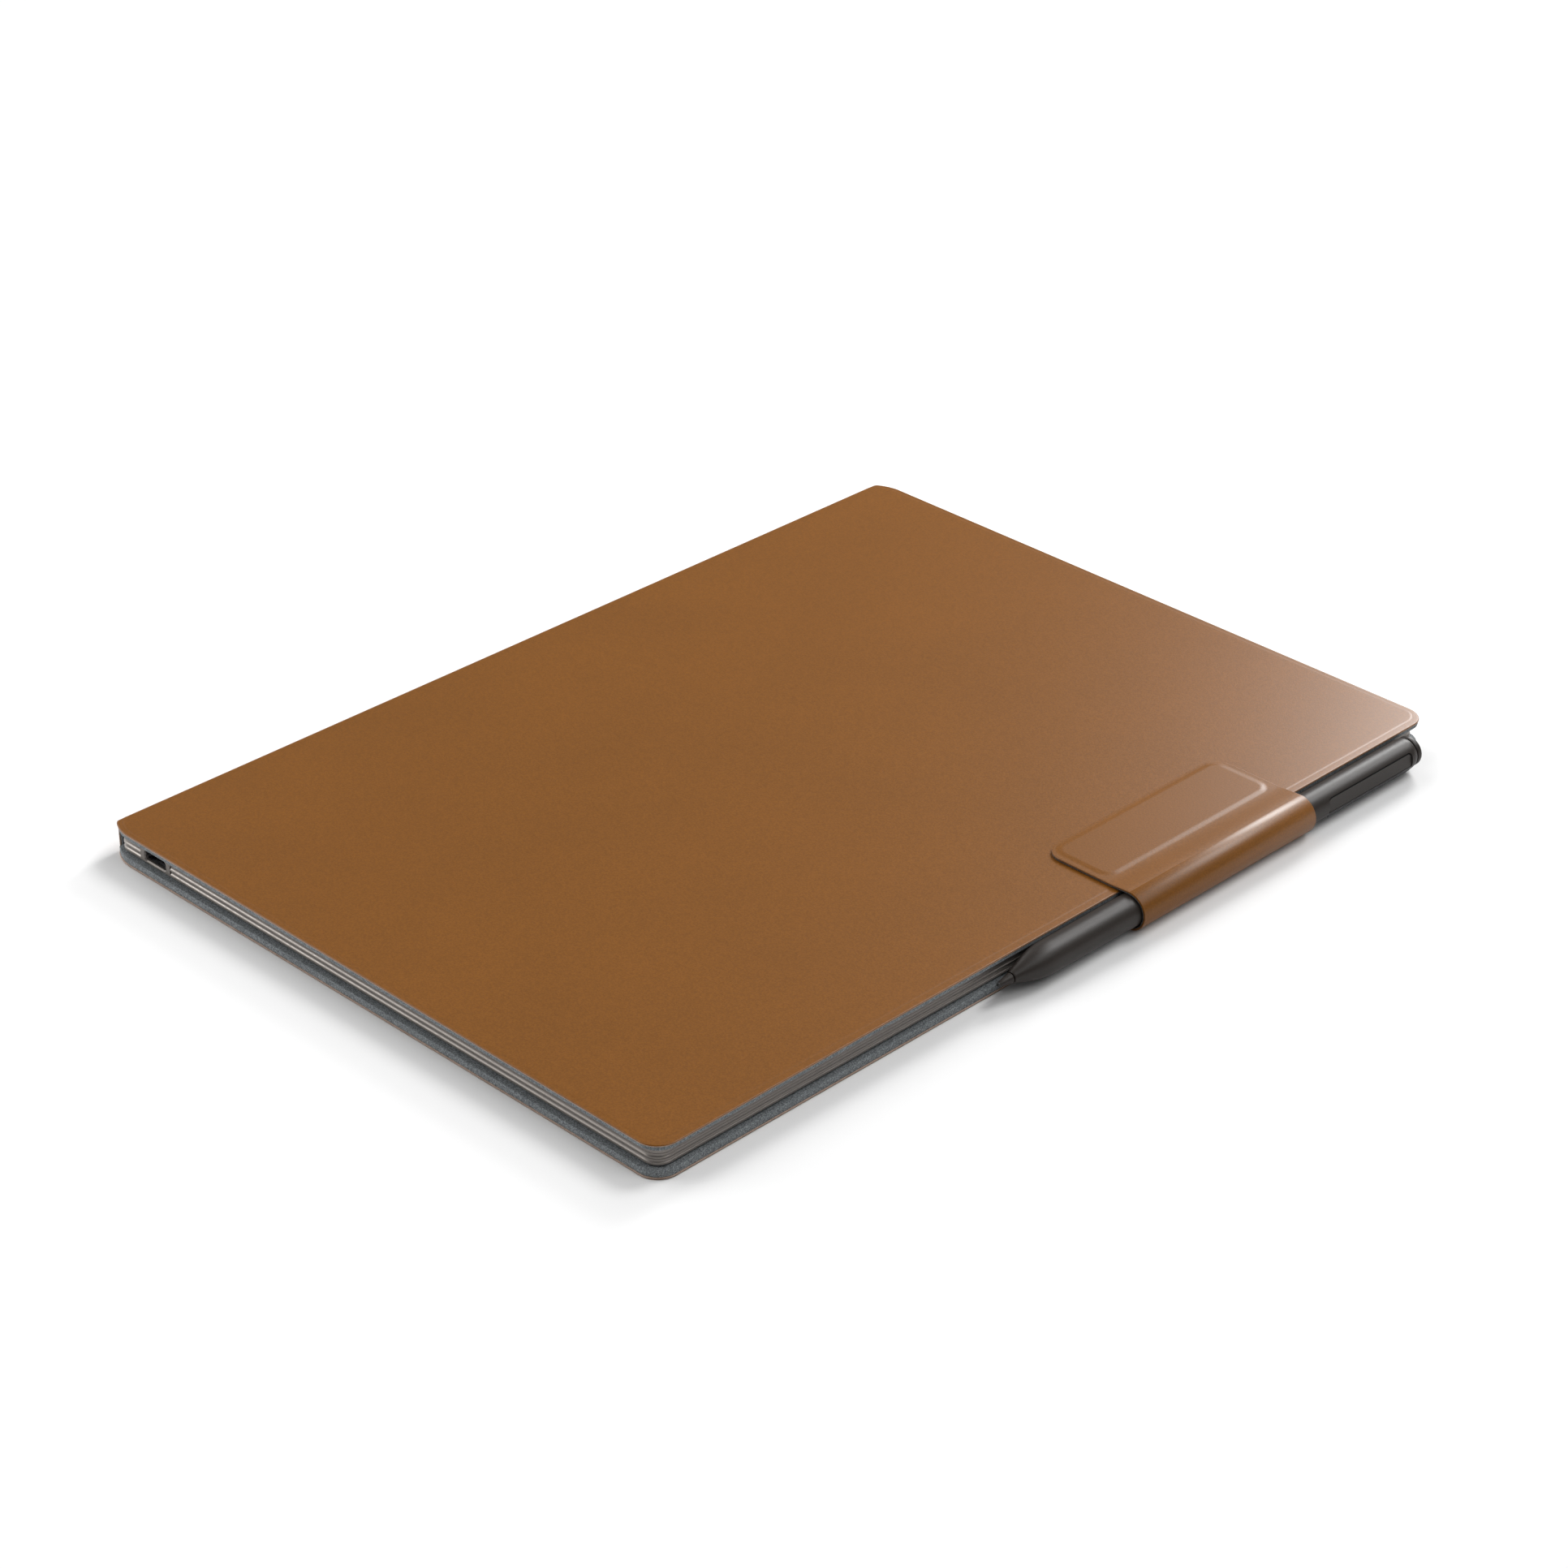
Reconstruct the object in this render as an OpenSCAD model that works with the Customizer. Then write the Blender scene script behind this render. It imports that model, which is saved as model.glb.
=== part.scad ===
// Large e-paper reading and writing tablet in a leather book folio, closed,
// with its marker held along the right-hand edge by a strap.
// X runs from the spine to the marker, Y from the port edge to the top edge, Z up.
// Origin: middle of the closed object's footprint, on the surface that it lies on.

/* [Tablet] */
// Width of the tablet across its short side
tablet_w = 196.6; // [180:0.1:210]
// Height of the tablet along its long side
tablet_h = 274.1; // [250:0.1:290]
// Thickness of the tablet without its feet
tablet_t = 5.1; // [5:0.1:6]
// Corner radius of the tablet seen from above
tablet_r = 4.2; // [4:0.1:8]
// Height of the rubber feet under the tablet
foot_t = 0.3; // [0.2:0.05:0.5]

/* [Folio] */
// Thickness of the leather all over
leather_t = 0.6; // [0.5:0.05:0.8]
// Thickness of the front cover, leather and lining together
front_t = 1.6; // [1.5:0.05:2]
// Thickness of the back cover, leather and lining together
back_t = 2.4; // [2.2:0.05:3]
// How far the covers reach past the tablet on the marker side
overhang_x = 1.6; // [1.4:0.1:1.7]
// How far the covers reach past the tablet at the top and bottom, on average
overhang_y = 2.0; // [1.5:0.1:3]
// How far the tablet sits from the middle of the covers towards the bottom
tablet_low = 0.4; // [0:0.1:0.6]
// Corner radius of the covers on the free side
free_r = 6.0; // [4:0.1:8]
// Radius of the cover corners where they run into the spine
spine_r = 12.9; // [11:0.1:15]
// Outer radius of the two bends of the spine
bend_r = 1.6; // [1.2:0.1:2]
// How far the lining stays back from the leather's cut edge
lining_inset = 0.35; // [0.3:0.05:0.6]

/* [Strap] */
// Width of the strap along the edge
strap_w = 66.3; // [50:0.1:80]
// Middle of the strap, measured from the middle of the long side
strap_y = 48.4; // [30:0.1:60]
// Length of the flat flap on the front cover, from the edge of the cover
flap_l = 24.8; // [18:0.1:35]
// Corner radius of the flap
flap_r = 5.5; // [3:0.1:8]
// Thickness of the strap, leather and lining together
strap_t = 0.8; // [0.7:0.05:1]
// Thickness of the strap's lining
strap_lining_t = 0.3; // [0.2:0.05:0.4]

/* [Marker] */
// Radius of the marker's barrel
marker_r = 4.3; // [4:0.05:4.5]
// Length of the marker over nib and eraser
marker_l = 159.5; // [150:0.5:170]
// Place of the nib's point, measured from the middle of the long side
nib_y = -32.1; // [-40:0.1:-20]
// Distance between the marker's axis and the tablet's side
marker_out = 4.95; // [4.9:0.05:5.1]

/* [Hidden] */
$fn = 48;

// colours
leather_color = [0.55, 0.36, 0.20];
lining_color = [0.45, 0.48, 0.51];
metal_color = [0.52, 0.50, 0.48];
marker_color = [0.30, 0.29, 0.29];
board_color = [0.10, 0.28, 0.20];
magnet_color = [0.70, 0.71, 0.73];

// covers and spine, measured from the outer face of the spine at x = 0
gap = 0.05;
spine_t = 1.1;
tablet_x0 = 1.8;
cover_w = tablet_x0 + tablet_w + overhang_x;
cover_h = tablet_h + 2 * overhang_y;
half_h = cover_h / 2;
tablet_z = back_t + foot_t;
folio_t = tablet_z + tablet_t + front_t;
front_z = folio_t - front_t;
tablet_cx = tablet_x0 + tablet_w / 2;
lining_x0 = 1.6;
spine_arc_x = 8.6;
board_inset = 2.4;
board_r = 4;
board_plate_w = tablet_w - 2 * board_inset;
board_plate_h = tablet_h - 2 * board_inset;
back_board_t = 1.1;
front_board_t = 0.5;
pocket_clear = 0.4;
spine_lining_z = bend_r + 0.1;
spine_lining_l = cover_h - 7.4;
spine_board_t = 0.25;
spine_board_end = 0.7;
spine_board_l = cover_h - 14;
far = 400;

// strap and marker
marker_x = tablet_x0 + tablet_w + marker_out;
strap_clear = 0.2;
strap_in_r = marker_r + strap_clear;
strap_out_r = strap_in_r + strap_t;
strap_mid_r = strap_in_r + strap_lining_t;
marker_z = strap_out_r;
fold_angle = 60;
crest_angle = 105;
flap_top = folio_t + gap + strap_t;
overall_w = marker_x + strap_out_r;
flap_magnet_x = 10.6;
flap_magnet_w = 17.4;
flap_magnet_l = strap_w - 5.4;
flap_magnet_r = 2.6;
flap_magnet_t = 0.3;

// tablet, measured from its underside at h = 0
wall_t = 2.4;
lip_t = 1.2;
panel_t = 0.6;
tape_t = 0.15;
glass_t = 0.65;
deck_h = 2.75;
deck_t = 0.4;
inner_w = tablet_w - 2 * wall_t;
inner_h = tablet_h - 2 * wall_t;
lip_gap = 0.1;
insert_w = tablet_w - 2 * (lip_t + lip_gap);
insert_h = tablet_h - 2 * (lip_t + lip_gap);
flute_h = 1.2;
flute_depth = 0.3;
flute_r = (pow(flute_h / 2, 2) + pow(flute_depth, 2)) / (2 * flute_depth);
flute_levels = [1.45, 2.95];

// port on the bottom edge and button on the top edge, both near the spine
port_x = -tablet_w / 2 + 15.55;
port_h = 2.2;
port_w = 8.9;
port_t = 3.1;
port_r = 1.1;
port_bevel = 0.25;
port_bevel_depth = 0.35;
port_land = 1.5;
port_land_h = 3.6;
port_land_t = 1;
usb_w = 8.94;
usb_t = 3.16;
usb_l = 7.2;
usb_wall = 0.3;
usb_y = -tablet_h / 2 + 0.95;
usb_hole_w = 9.2;
usb_hole_t = 3.4;
tongue_w = 6.6;
tongue_t = 0.7;
tongue_l = 4.9;
button_x = -tablet_w / 2 + 24;
button_h = 2.3;
button_w = 11;
button_t = 1.8;
button_travel = 0.3;

// electronics
display_w = 184;
display_h = 246;
film_r = 1.5;
guide_t = 0.35;
paper_t = 0.75;
sensor_t = 0.2;
guide_z = tablet_t - glass_t - guide_t;
board_w = 170;
board_h = 32;
board_y = -112;
board_z = 1.75;
board_t = 0.7;
boss_r = 1.8;
cell_w = 80;
cell_h = 128;
cell_t = 2;
cell_x = 43;
cell_y = -14;
screw_places = [[-78, 12], [-10, 12], [78, 12], [-55, -12], [20, -12], [78, -12]];

// marker, measured along its axis from the nib's point
cone_l = 4.6;
cone_base_r = 1.4;
nose_l = 10.8;
nose_arc_r = 50;
nose_start = cone_l + 0.3;
nose_start_r = 1.5;
barrel_end = marker_l - 2.2;
eraser_l = 1.8;
eraser_r = 4.05;
bore_r = 3.1;
facet_start = marker_l - 37.5;
facet_l = 33.5;
facet_depth = 0.7;

// Rounded rectangle about the origin
module rounded_rect(w, h, r) {
    square([w - 2 * r, h], center = true);
    square([w, h - 2 * r], center = true);
    for (sx = [-1, 1], sy = [-1, 1])
        translate([sx * (w / 2 - r), sy * (h / 2 - r)])
            circle(r);
}

// Flat ring between two rounded rectangles
module flat_ring(w, h, r, band, t) {
    linear_extrude(t)
        difference() {
            rounded_rect(w, h, r);
            rounded_rect(w - 2 * band, h - 2 * band, r - band);
        }
}

// Plate with rounded corners, its underside at z = 0
module plate(w, h, r, t) {
    linear_extrude(t)
        rounded_rect(w, h, r);
}

// Slot with round ends, w long in X and t high in Z, through length l towards +Y
module slot(w, t, l) {
    rotate([-90, 0, 0])
        linear_extrude(l) {
            square([w - t, t], center = true);
            for (s = [-1, 1])
                translate([s * (w - t) / 2, 0])
                    circle(t / 2);
        }
}

// Straight opening with rounded corners, w by t, through length l towards +Y
module port_hole(w, t, r, l) {
    rotate([-90, 0, 0])
        linear_extrude(l)
            rounded_rect(w, t, r);
}

// Flared mouth of such an opening, narrowing by b all round over depth d
module port_flare(w, t, r, b, d) {
    over = 0.1;
    grow = over * b / d;
    cx = w / 2 - r;
    cz = t / 2 - r;
    for (sx = [-1, 1], sz = [-1, 1])
        translate([sx * cx, -over, sz * cz])
            rotate([-90, 0, 0])
                cylinder(r1 = r + grow, r2 = r - b, h = d + over);
    translate([-cx, 0, 0])
        rotate([90, 0, 90])
            linear_extrude(2 * cx)
                polygon([[-over, -t / 2 - grow], [d, b - t / 2], [d, t / 2 - b], [-over, t / 2 + grow]]);
    translate([0, 0, -cz])
        linear_extrude(2 * cz)
            polygon([[-w / 2 - grow, -over], [w / 2 + grow, -over], [w / 2 - b, d], [b - w / 2, d]]);
}

// Outline of a cover from above, drawn in by i on its free edges, from x = x0 on
module cover_outline(i = 0, x0 = 0) {
    left_y = half_h - spine_r;
    right_x = cover_w - free_r;
    right_y = half_h - free_r;
    translate([spine_arc_x, -half_h + i])
        square([right_x - spine_arc_x, cover_h - 2 * i]);
    translate([x0, -left_y])
        square([spine_arc_x - x0, 2 * left_y]);
    intersection() {
        for (s = [-1, 1])
            translate([spine_arc_x, s * left_y])
                circle(spine_r - i);
        translate([x0, -half_h])
            square([spine_arc_x - x0, cover_h]);
    }
    translate([right_x, -right_y])
        square([free_r - i, 2 * right_y]);
    for (s = [-1, 1])
        translate([right_x, s * right_y])
            circle(free_r - i);
}

// Section of the leather from the end: both covers and the spine in one band
module leather_section() {
    difference() {
        bend_section(0, bend_r);
        bend_section(leather_t, bend_r - leather_t);
    }
}

module bend_section(i, r) {
    translate([i + r, i])
        square([far, folio_t - 2 * i]);
    translate([i, i + r])
        square([far, folio_t - 2 * (i + r)]);
    for (z = [i + r, folio_t - i - r])
        translate([i + r, z])
            circle(r);
}

// Part of the leather inside a wedge of its end section
module leather_part(wedge) {
    intersection() {
        linear_extrude(folio_t)
            cover_outline();
        translate([0, half_h + 1, 0])
            rotate([90, 0, 0])
                linear_extrude(cover_h + 2)
                    intersection() {
                        leather_section();
                        polygon(wedge);
                    }
    }
}

// Places a part that is measured from the spine's outer face
module on_folio() {
    translate([-overall_w / 2, 0, 0])
        children();
}

// Places a part that is measured from the middle of the tablet's underside
module on_tablet() {
    on_folio()
        translate([tablet_cx, -tablet_low, tablet_z])
            children();
}

// Places a part that is turned about Z along the marker, from the nib's point
module on_marker() {
    on_folio()
        translate([marker_x, nib_y, marker_z])
            rotate([-90, 0, 0])
                children();
}

// ---- back cover ----

module back_leather() {
    mid = folio_t / 2;
    on_folio()
        color(leather_color)
            leather_part([[0, 0], [mid, mid], [far, mid], [far, 0]]);
}

// Tray with a pocket on its leather side that a board fills
module lining_tray(t, pocket_t, pocket_below) {
    difference() {
        linear_extrude(t)
            cover_outline(lining_inset, lining_x0);
        translate([tablet_cx, 0, pocket_below ? 0 : t - pocket_t])
            plate(board_plate_w, board_plate_h, board_r, pocket_t);
    }
}

module back_lining() {
    on_folio()
        color(lining_color)
            translate([0, 0, leather_t])
                lining_tray(back_t - leather_t, back_board_t, true);
}

module magnet_pockets(extra = 0) {
    for (sx = [-1, 1], sy = [-1, 1])
        translate([sx * 78, sy * 112, 0])
            linear_extrude(back_board_t)
                square([18 + extra, 6 + extra], center = true);
    for (sy = [-1, 0, 1])
        translate([-86, sy * 40, 0])
            linear_extrude(back_board_t)
                square([6 + extra, 18 + extra], center = true);
}

module back_board() {
    on_folio()
        color("dimgray")
            translate([tablet_cx, 0, leather_t])
                difference() {
                    plate(board_plate_w, board_plate_h, board_r, back_board_t);
                    magnet_pockets(pocket_clear);
                }
}

module back_magnets() {
    on_folio()
        color(magnet_color)
            translate([tablet_cx, 0, leather_t])
                magnet_pockets();
}

// ---- spine ----

module spine_leather() {
    mid = folio_t / 2;
    on_folio()
        color(leather_color)
            leather_part([[0, 0], [mid, mid], [0, folio_t]]);
}

module spine_strip(x0, x1, z0, z1, l) {
    translate([x0, -l / 2, z0])
        cube([x1 - x0, l, z1 - z0]);
}

module spine_lining() {
    on_folio()
        color(lining_color)
            difference() {
                spine_strip(leather_t, spine_t, spine_lining_z, folio_t - spine_lining_z, spine_lining_l);
                spine_stiffener();
            }
}

// Stiffening strip, let into the lining from its leather side
module spine_stiffener() {
    spine_strip(leather_t, leather_t + spine_board_t,
        back_t + spine_board_end, front_z - spine_board_end, spine_board_l);
}

module spine_board() {
    on_folio()
        color("dimgray")
            spine_stiffener();
}

// ---- front cover ----

module front_leather() {
    mid = folio_t / 2;
    on_folio()
        color(leather_color)
            leather_part([[0, folio_t], [far, folio_t], [far, mid], [mid, mid]]);
}

module front_lining() {
    on_folio()
        color(lining_color)
            translate([0, 0, front_z])
                lining_tray(front_t - leather_t, front_board_t, false);
}

module front_inserts(extra = 0) {
    translate([tablet_w / 2 - 14, -70, 0])
        linear_extrude(front_board_t)
            square([6 + extra, 24 + extra], center = true);
    translate([tablet_w / 2 - 12, strap_y, 0])
        linear_extrude(front_board_t)
            square([14 + extra, 56 + extra], center = true);
}

module front_board() {
    on_folio()
        color("dimgray")
            translate([tablet_cx, 0, folio_t - leather_t - front_board_t])
                difference() {
                    plate(board_plate_w, board_plate_h, board_r, front_board_t);
                    front_inserts(pocket_clear);
                }
}

module front_magnet() {
    on_folio()
        color(magnet_color)
            translate([tablet_cx, 0, folio_t - leather_t - front_board_t])
                intersection() {
                    front_inserts();
                    translate([0, -half_h, 0])
                        cube([far, half_h, 1]);
                }
}

module catch_plate() {
    on_folio()
        color("silver")
            translate([tablet_cx, 0, folio_t - leather_t - front_board_t])
                intersection() {
                    front_inserts();
                    cube([far, half_h, 1]);
                }
}

// ---- strap ----

// Sector of a ring about the marker's axis, seen from the end
module ring_sector(r0, r1, a0, a1) {
    reach = 3 * r1;
    intersection() {
        difference() {
            circle(r1);
            circle(r0);
        }
        polygon([
            [0, 0],
            [reach * cos(a0), reach * sin(a0)],
            [reach * cos((a0 + a1) / 2), reach * sin((a0 + a1) / 2)],
            [reach * cos(a1), reach * sin(a1)]
        ]);
    }
}

// Extrudes an end section, drawn about the marker's axis, over the strap's width
module over_strap() {
    on_folio()
        translate([marker_x, strap_y + strap_w / 2, marker_z])
            rotate([90, 0, 0])
                linear_extrude(strap_w)
                    children();
}

module strap_root() {
    flat_l = marker_x - cover_w;
    color(leather_color)
        over_strap() {
            ring_sector(strap_in_r, strap_out_r, -90, -fold_angle);
            translate([-flat_l, -strap_out_r])
                square([flat_l, strap_t]);
        }
}

module strap_lower_leather() {
    color(leather_color)
        over_strap()
            ring_sector(strap_mid_r, strap_out_r, -fold_angle, 0);
}

module strap_lower_lining() {
    color(lining_color)
        over_strap()
            ring_sector(strap_in_r, strap_mid_r, -fold_angle, 0);
}

module strap_upper_leather() {
    color(leather_color)
        over_strap()
            ring_sector(strap_mid_r, strap_out_r, 0, fold_angle);
}

module strap_upper_lining() {
    color(lining_color)
        over_strap()
            ring_sector(strap_in_r, strap_mid_r, 0, fold_angle);
}

// Layer of the flap between radii r0 and r1: over the marker's crest, then down
// a short ramp and flat along the front cover
module flap_layer(r0, r1) {
    z0 = folio_t + gap - marker_z + (r0 - strap_in_r);
    z1 = z0 + (r1 - r0);
    slope = crest_angle - 90;
    low = [r0 * cos(crest_angle), r0 * sin(crest_angle)];
    high = [r1 * cos(crest_angle), r1 * sin(crest_angle)];
    low_x = low[0] - (low[1] - z0) / tan(slope);
    high_x = high[0] - (high[1] - z1) / tan(slope);
    end_x = cover_w - flap_l - marker_x;
    reach = 50;
    intersection() {
        over_strap() {
            ring_sector(r0, r1, fold_angle, crest_angle);
            polygon([low, high, [high_x, z1], [end_x, z1], [end_x, z0], [low_x, z0]]);
        }
        on_folio()
            translate([cover_w - flap_l + reach / 2, strap_y, folio_t])
                linear_extrude(marker_z)
                    union() {
                        rounded_rect(reach, strap_w, flap_r);
                        translate([0, -strap_w / 2])
                            square([reach / 2, strap_w]);
                    }
    }
}

module flap_leather() {
    color(leather_color)
        difference() {
            flap_layer(strap_mid_r, strap_out_r);
            flap_insert();
        }
}

module flap_lining() {
    color(lining_color)
        flap_layer(strap_in_r, strap_mid_r);
}

// Thin magnet sheet in a pocket between the flap's leather and its lining
module flap_insert() {
    on_folio()
        translate([cover_w - flap_l + flap_magnet_x, strap_y, folio_t + gap + strap_lining_t])
            plate(flap_magnet_w, flap_magnet_l, flap_magnet_r, flap_magnet_t);
}

module flap_magnet() {
    color(magnet_color)
        flap_insert();
}

// ---- tablet body ----

// Sweeps an end section round a rounded rectangle; x = 0 of the section lies on
// the outer edge and negative x points inward
module sweep_round(w, h, r) {
    for (k = [0 : 3]) {
        reach = k % 2 == 0 ? w / 2 : h / 2;
        side = k % 2 == 0 ? h / 2 - r : w / 2 - r;
        rotate([0, 0, 90 * k]) {
            translate([reach, side, 0])
                rotate([90, 0, 0])
                    linear_extrude(2 * side)
                        children();
            translate([reach - r, side, 0])
                rotate_extrude(angle = 90)
                    translate([r, 0])
                        children();
        }
    }
}

// Section of the frame's rim: a lip for the glass, a lip for the panel, two flutes
module rim_section() {
    low = 0.3;
    ledge = panel_t + tape_t;
    shelf = tablet_t - glass_t - tape_t;
    difference() {
        polygon([
            [-low, 0], [0, low], [0, tablet_t - low], [-low, tablet_t],
            [-lip_t, tablet_t], [-lip_t, shelf], [-wall_t, shelf],
            [-wall_t, ledge], [-lip_t, ledge], [-lip_t, 0]
        ]);
        for (z = flute_levels)
            translate([flute_r - flute_depth, z])
                circle(flute_r);
    }
}

module mid_frame() {
    on_tablet()
        color(metal_color)
            difference() {
                union() {
                    sweep_round(tablet_w, tablet_h, tablet_r)
                        rim_section();
                    translate([0, 0, deck_h])
                        plate(inner_w + 1, inner_h + 1, tablet_r - wall_t + 0.5, deck_t);
                    translate([port_x, (port_land_t - tablet_h) / 2, port_h])
                        cube([port_w + 2 * port_land, port_land_t, port_land_h], center = true);
                    for (p = screw_places)
                        translate([p[0], board_y + p[1], board_z + board_t])
                            cylinder(r = boss_r, h = deck_h - board_z - board_t + 0.1);
                }
                translate([port_x, -tablet_h / 2 - 1, port_h])
                    port_hole(port_w - 2 * port_bevel, port_t - 2 * port_bevel, port_r - port_bevel, 5);
                translate([port_x, -tablet_h / 2, port_h])
                    port_flare(port_w, port_t, port_r, port_bevel, port_bevel_depth);
                translate([port_x, -tablet_h / 2 + 0.9, port_h])
                    slot(usb_hole_w, usb_hole_t, 5);
                translate([port_x, -tablet_h / 2 + wall_t + 4.5, deck_h])
                    cube([11, 9, 3], center = true);
                translate([button_x, tablet_h / 2 - 5, button_h])
                    slot(button_w + 0.2, button_t + 0.2, 10);
                translate([0, -display_h / 2 - 3.4, deck_h])
                    cube([34, 1.6, 3], center = true);
                for (p = screw_places)
                    translate([p[0], board_y + p[1], board_z])
                        cylinder(r = 0.65, h = 1.2);
            }
}

module back_panel() {
    on_tablet()
        color([0.30, 0.30, 0.31])
            difference() {
                plate(insert_w, insert_h, tablet_r - lip_t - lip_gap, panel_t);
                contact_pins(0.7);
                translate([port_x, -tablet_h / 2 + 4.5, 1])
                    cube([9.6, 8, 1.2], center = true);
            }
}

module panel_adhesive() {
    on_tablet()
        color("black")
            difference() {
                translate([0, 0, panel_t])
                    flat_ring(insert_w, insert_h, tablet_r - lip_t - lip_gap, 1, tape_t);
                translate([port_x, -tablet_h / 2 + 2, 1])
                    cube([9.6, 3, 2], center = true);
            }
}

module rubber_feet() {
    on_tablet()
        color([0.13, 0.13, 0.13])
            for (sx = [-1, 1], sy = [-1, 1])
                translate([sx * 84, sy * 122, -foot_t])
                    cylinder(r = 5, h = foot_t);
}

module cover_glass() {
    on_tablet()
        color([0.12, 0.12, 0.13, 0.6])
            translate([0, 0, tablet_t - glass_t])
                plate(insert_w, insert_h, tablet_r - lip_t - lip_gap, glass_t);
}

module glass_adhesive() {
    on_tablet()
        color("black")
            translate([0, 0, tablet_t - glass_t - tape_t])
                flat_ring(insert_w, insert_h, tablet_r - lip_t - lip_gap, 1, tape_t);
}

// ---- display ----

module light_guide() {
    on_tablet()
        color([0.85, 0.90, 0.92, 0.6])
            translate([0, 0, guide_z])
                plate(display_w, display_h, film_r, guide_t);
}

module light_strip() {
    on_tablet()
        color("ivory")
            translate([0, -display_h / 2 - 0.8, guide_z]) {
                translate([-display_w / 2 + 4, -0.7, 0])
                    cube([display_w - 8, 1.4, 0.1]);
                for (i = [-11 : 11])
                    translate([i * 7.6 - 1, -0.3, 0.1])
                        cube([2, 1, 0.2]);
            }
}

module paper_display() {
    on_tablet()
        color([0.90, 0.89, 0.86])
            translate([0, 0, guide_z - paper_t])
                plate(display_w, display_h, film_r, paper_t);
}

module pen_sensor() {
    on_tablet()
        color([0.72, 0.45, 0.20])
            translate([0, 0, deck_h + deck_t])
                plate(display_w + 2, display_h + 1, film_r, sensor_t);
}

module display_flex() {
    ribbon = 0.12;
    top = tablet_t - glass_t - 0.6;
    y0 = -display_h / 2;
    on_tablet()
        color([0.80, 0.55, 0.15])
            translate([-14, 0, 0]) {
                translate([0, y0 - 3.5, top])
                    cube([28, 3.5, ribbon]);
                translate([0, y0 - 3.5, board_z + board_t])
                    cube([28, ribbon, top - board_z - board_t + ribbon]);
                translate([0, y0 - 3.5, board_z + board_t])
                    cube([28, 4.5, ribbon]);
            }
}

// ---- electronics ----

module main_board() {
    on_tablet()
        color(board_color)
            translate([0, board_y, board_z])
                difference() {
                    linear_extrude(board_t) {
                        square([board_w, board_h], center = true);
                        translate([port_x - 4, -board_h / 2 - 0.9])
                            square([18, 2]);
                    }
                    for (p = screw_places)
                        translate([p[0], p[1], -1])
                            cylinder(r = 0.9, h = 3);
                }
}

module board_shield() {
    on_tablet()
        color("silver")
            translate([-34, board_y, board_z - 0.95])
                difference() {
                    translate([-17, -9, 0])
                        cube([34, 18, 0.95]);
                    translate([-16.8, -8.8, 0.2])
                        cube([33.6, 17.6, 0.75]);
                }
}

module board_chips() {
    chips = [[6, 0, 12, 12], [28, 3, 9, 7], [48, -4, 8, 8], [62, 6, 6, 5], [-68, 2, 8, 6]];
    on_tablet()
        color([0.12, 0.12, 0.12])
            for (c = chips)
                translate([c[0] - c[2] / 2, board_y + c[1] - c[3] / 2, board_z - 0.8])
                    cube([c[2], c[3], 0.8]);
}

module board_screws() {
    on_tablet()
        color("silver")
            for (p = screw_places)
                translate([p[0], board_y + p[1], 0]) {
                    translate([0, 0, board_z - 0.5])
                        cylinder(r = 1.3, h = 0.5);
                    translate([0, 0, board_z - 0.1])
                        cylinder(r = 0.6, h = 1.2);
                }
}

module usb_shell() {
    on_tablet()
        color("silver")
            translate([port_x, usb_y, port_h])
                difference() {
                    slot(usb_w, usb_t, usb_l);
                    translate([0, -1, 0])
                        slot(usb_w - 2 * usb_wall, usb_t - 2 * usb_wall, usb_l + 0.7);
                }
}

module usb_tongue() {
    on_tablet()
        color([0.15, 0.15, 0.15])
            translate([port_x, usb_y, port_h])
                translate([-tongue_w / 2, 2, -tongue_t / 2])
                    cube([tongue_w, tongue_l, tongue_t]);
}

module battery_cells() {
    on_tablet()
        color([0.20, 0.21, 0.23])
            for (s = [-1, 1])
                translate([s * cell_x, cell_y, deck_h - cell_t])
                    plate(cell_w, cell_h, 3, cell_t);
}

module battery_board() {
    on_tablet()
        color(board_color)
            translate([-18, -90, deck_h - 1])
                cube([36, 6, 1]);
}

module battery_flex() {
    on_tablet()
        color([0.80, 0.55, 0.15])
            translate([-4, -99, board_z - 0.15])
                cube([8, 12, 0.15]);
}

module charge_coil() {
    on_tablet()
        color([0.72, 0.40, 0.18])
            translate([tablet_w / 2 - wall_t - 3.2, strap_y + 22, deck_h - 1])
                linear_extrude(1)
                    difference() {
                        rounded_rect(5, 26, 2.4);
                        rounded_rect(3, 24, 1.4);
                    }
}

module marker_holder_magnets() {
    on_tablet()
        color(magnet_color)
            for (y = [-20, 0, 20, 100])
                translate([tablet_w / 2 - wall_t - 2.2, y, deck_h - 1.6])
                    linear_extrude(1.6)
                        square([2, 12], center = true);
}

module dock_magnets() {
    on_tablet()
        color(magnet_color) {
            for (sx = [-1, 1], sy = [-1, 1])
                translate([sx * 78 - 4, sy * 112 - 2.5, panel_t])
                    cube([8, 5, 1]);
            for (sy = [-1, 0, 1])
                translate([-90.5, sy * 40 - 9, panel_t])
                    cube([5, 18, 1.4]);
        }
}

module radio_antenna() {
    on_tablet()
        color([0.80, 0.55, 0.15])
            translate([30, 118, deck_h - 0.3])
                linear_extrude(0.3)
                    difference() {
                        square([40, 10]);
                        translate([3, 3])
                            square([30, 4]);
                        translate([3, -1])
                            square([2, 4]);
                    }
}

module contact_pins(t) {
    for (i = [-2 : 2])
        translate([-tablet_w / 2 + 16, i * 4, 0])
            cylinder(r = 1, h = t);
}

module accessory_contacts() {
    on_tablet()
        color([0.85, 0.68, 0.30])
            contact_pins(0.65);
}

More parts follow.
